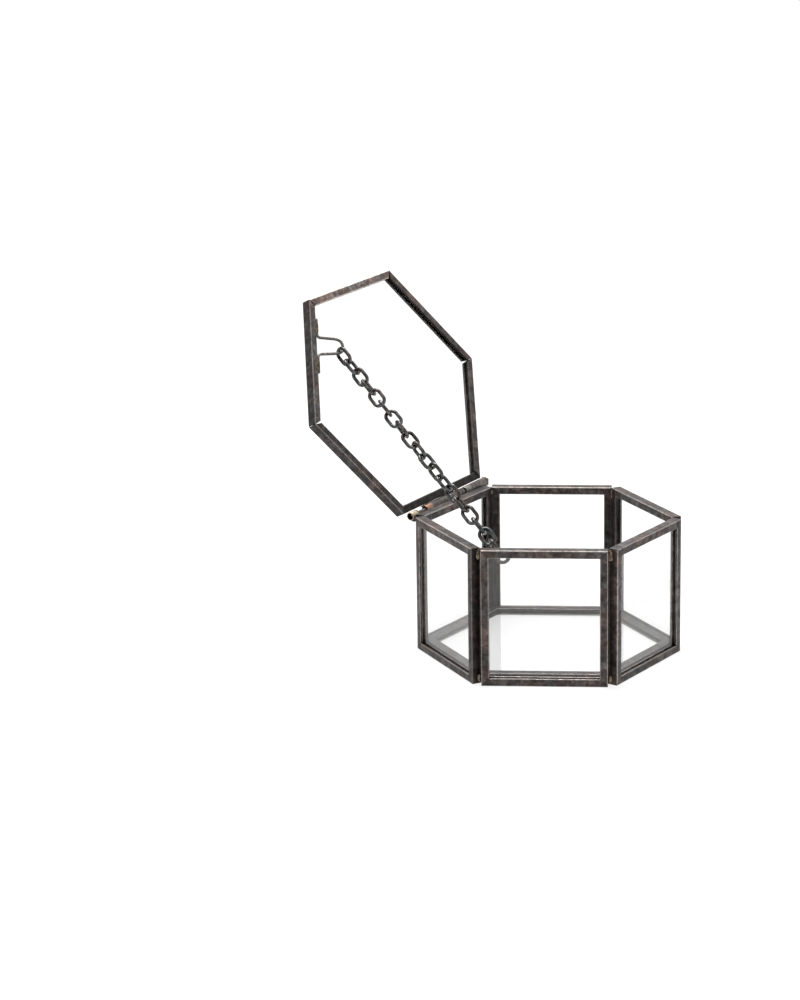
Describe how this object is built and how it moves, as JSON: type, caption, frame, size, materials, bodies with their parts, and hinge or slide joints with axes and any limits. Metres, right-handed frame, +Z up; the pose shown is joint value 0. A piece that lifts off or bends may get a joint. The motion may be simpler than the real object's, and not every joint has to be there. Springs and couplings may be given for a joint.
{
  "type": "glass casket box",
  "caption": "Hexagonal glass keepsake box with a dark metal came frame, a tube-hinged glass lid and a link chain that stops the lid when it is open",
  "frame": {"origin": "middle of the base, on the surface that the box stands on", "axes": "+Z up, the front pane faces -Y, +X to the right seen from the front; millimetre source, metre row"},
  "size_m": [0.1789, 0.1528, 0.1662],
  "materials": {
    "came": "antiqued dark zinc with a mottled patina",
    "glass": "clear polished",
    "solder": "dull solder, darkened",
    "tube_brass": "tarnished brass",
    "tube_copper": "copper tinted, darkened",
    "wire": "dark gunmetal",
    "chain": "dark gunmetal, polished on the high spots"
  },
  "bodies": {
    "box": {"side_came_1": "came", "side_came_2": "came", "side_came_3": "came", "side_came_4": "came", "side_came_5": "came", "side_came_6": "came", "side_glass_1": "glass", "side_glass_2": "glass", "side_glass_3": "glass", "side_glass_4": "glass", "side_glass_5": "glass", "side_glass_6": "glass", "corner_solder_1": "solder", "corner_solder_2": "solder", "corner_solder_3": "solder", "corner_solder_4": "solder", "corner_solder_5": "solder", "corner_solder_6": "solder", "floor_came": "came", "floor_glass": "glass", "hinge_tube_near": "tube_brass", "hinge_tube_far": "wire", "hinge_pin": "wire", "hinge_solder_box": "solder", "anchor_ring": "wire", "anchor_solder": "solder"},
    "lid": {"lid_came": "came", "lid_glass": "glass", "hinge_tube_lid": "tube_copper", "hinge_solder_lid": "solder", "lid_loop": "wire", "lid_loop_solder": "solder"},
    "link_01": {"chain_link_01": "chain"},
    "link_02": {"chain_link_02": "chain"},
    "link_03": {"chain_link_03": "chain"},
    "link_04": {"chain_link_04": "chain"},
    "link_05": {"chain_link_05": "chain"},
    "link_06": {"chain_link_06": "chain"},
    "link_07": {"chain_link_07": "chain"},
    "link_08": {"chain_link_08": "chain"},
    "link_09": {"chain_link_09": "chain"},
    "link_10": {"chain_link_10": "chain"},
    "link_11": {"chain_link_11": "chain"},
    "link_12": {"chain_link_12": "chain"},
    "link_13": {"chain_link_13": "chain"},
    "link_14": {"chain_link_14": "chain"},
    "link_15": {"chain_link_15": "chain"},
    "link_16": {"chain_link_16": "chain"},
    "link_17": {"chain_link_17": "chain"},
    "link_18": {"chain_link_18": "chain"},
    "link_19": {"chain_link_19": "chain"}
  },
  "joints": [
    {"name": "lid_hinge", "type": "hinge", "parent": "box", "child": "lid", "pos_m": [-0.04982, 0.02876, 0.0647], "axis": [0.4998, 0.8656, 0.0297], "range_deg": [0, 117]},
    {"name": "link_01_turn", "type": "hinge", "parent": "lid", "child": "link_01", "pos_m": [-0.09805, 0.02035, 0.13891], "axis": [-0.5585, -0.8171, 0.1433], "range_deg": [0, 48.71]},
    {"name": "link_02_turn", "type": "hinge", "parent": "link_01", "child": "link_02", "pos_m": [-0.09395, 0.01684, 0.13482], "axis": [0.709, 0.0058, 0.7052], "range_deg": [0, 3.63]},
    {"name": "link_03_turn", "type": "hinge", "parent": "link_02", "child": "link_03", "pos_m": [-0.0901, 0.01353, 0.13098], "axis": [0.7959, 0.3693, 0.4797], "range_deg": [0, 4.97]},
    {"name": "link_04_turn", "type": "hinge", "parent": "link_03", "child": "link_04", "pos_m": [-0.08606, 0.01006, 0.12695], "axis": [0.784, 0.5214, 0.3369], "range_deg": [0, 6.67]},
    {"name": "link_05_turn", "type": "hinge", "parent": "link_04", "child": "link_05", "pos_m": [-0.0819, 0.00649, 0.1228], "axis": [0.7662, 0.5862, 0.2633], "range_deg": [0, 8.09]},
    {"name": "link_06_turn", "type": "hinge", "parent": "link_05", "child": "link_06", "pos_m": [-0.0777, 0.00288, 0.1186], "axis": [0.7521, 0.6217, 0.2187], "range_deg": [0, 9.2]},
    {"name": "link_07_turn", "type": "hinge", "parent": "link_06", "child": "link_07", "pos_m": [-0.07348, -0.00074, 0.11438], "axis": [0.7429, 0.641, 0.1928], "range_deg": [0, 9.77]},
    {"name": "link_08_turn", "type": "hinge", "parent": "link_07", "child": "link_08", "pos_m": [-0.06926, -0.00436, 0.11017], "axis": [0.7348, 0.6561, 0.1718], "range_deg": [0, 10.01]},
    {"name": "link_09_turn", "type": "hinge", "parent": "link_08", "child": "link_09", "pos_m": [-0.06505, -0.00797, 0.10597], "axis": [0.7295, 0.6654, 0.1584], "range_deg": [0, 9.66]},
    {"name": "link_10_turn", "type": "hinge", "parent": "link_09", "child": "link_10", "pos_m": [-0.06087, -0.01156, 0.1018], "axis": [0.7236, 0.675, 0.1442], "range_deg": [0, 9.05]},
    {"name": "link_11_turn", "type": "hinge", "parent": "link_10", "child": "link_11", "pos_m": [-0.05672, -0.01513, 0.09766], "axis": [0.7197, 0.681, 0.1352], "range_deg": [0, 7.95]},
    {"name": "link_12_turn", "type": "hinge", "parent": "link_11", "child": "link_12", "pos_m": [-0.0526, -0.01867, 0.09354], "axis": [0.7144, 0.6888, 0.1233], "range_deg": [0, 6.72]},
    {"name": "link_13_turn", "type": "hinge", "parent": "link_12", "child": "link_13", "pos_m": [-0.04851, -0.02218, 0.08946], "axis": [0.7129, 0.691, 0.1198], "range_deg": [0, 5.04]},
    {"name": "link_14_turn", "type": "hinge", "parent": "link_13", "child": "link_14", "pos_m": [-0.04445, -0.02566, 0.08541], "axis": [0.7089, 0.6965, 0.1111], "range_deg": [0, 3.36]},
    {"name": "link_15_turn", "type": "hinge", "parent": "link_14", "child": "link_15", "pos_m": [-0.04049, -0.02907, 0.08145], "axis": [0.7281, 0.6677, 0.1551], "range_deg": [0, 1.25]},
    {"name": "link_19_turn", "type": "hinge", "parent": "box", "child": "link_19", "pos_m": [-0.02045, -0.04627, 0.06145], "axis": [-0.7123, -0.6918, -0.1185], "range_deg": [0, 29.61]},
    {"name": "link_18_turn", "type": "hinge", "parent": "link_19", "child": "link_18", "pos_m": [-0.02445, -0.04283, 0.06544], "axis": [-0.6921, -0.7178, -0.0759], "range_deg": [0, 2.36]},
    {"name": "link_17_turn", "type": "hinge", "parent": "link_18", "child": "link_17", "pos_m": [-0.02835, -0.03949, 0.06933], "axis": [-0.6614, -0.7498, -0.0177], "range_deg": [0, 3.1]},
    {"name": "link_16_turn", "type": "hinge", "parent": "link_17", "child": "link_16", "pos_m": [-0.0322, -0.03619, 0.07317], "axis": [0.5948, 0.7987, -0.0911], "range_deg": [0, 1.51]}
  ],
  "couplings": [
    {"joint": "link_01_turn", "follows": "lid_hinge", "ratio": 0.41633},
    {"joint": "link_02_turn", "follows": "lid_hinge", "ratio": 0.031043},
    {"joint": "link_03_turn", "follows": "lid_hinge", "ratio": 0.042496},
    {"joint": "link_04_turn", "follows": "lid_hinge", "ratio": 0.056991},
    {"joint": "link_05_turn", "follows": "lid_hinge", "ratio": 0.069128},
    {"joint": "link_06_turn", "follows": "lid_hinge", "ratio": 0.078658},
    {"joint": "link_07_turn", "follows": "lid_hinge", "ratio": 0.083513},
    {"joint": "link_08_turn", "follows": "lid_hinge", "ratio": 0.085521},
    {"joint": "link_09_turn", "follows": "lid_hinge", "ratio": 0.082547},
    {"joint": "link_10_turn", "follows": "lid_hinge", "ratio": 0.07735},
    {"joint": "link_11_turn", "follows": "lid_hinge", "ratio": 0.067949},
    {"joint": "link_12_turn", "follows": "lid_hinge", "ratio": 0.05741},
    {"joint": "link_13_turn", "follows": "lid_hinge", "ratio": 0.043094},
    {"joint": "link_14_turn", "follows": "lid_hinge", "ratio": 0.028701},
    {"joint": "link_15_turn", "follows": "lid_hinge", "ratio": 0.010709},
    {"joint": "link_19_turn", "follows": "lid_hinge", "ratio": 0.25307},
    {"joint": "link_18_turn", "follows": "lid_hinge", "ratio": 0.020179},
    {"joint": "link_17_turn", "follows": "lid_hinge", "ratio": 0.026453},
    {"joint": "link_16_turn", "follows": "lid_hinge", "ratio": 0.012906}
  ]
}
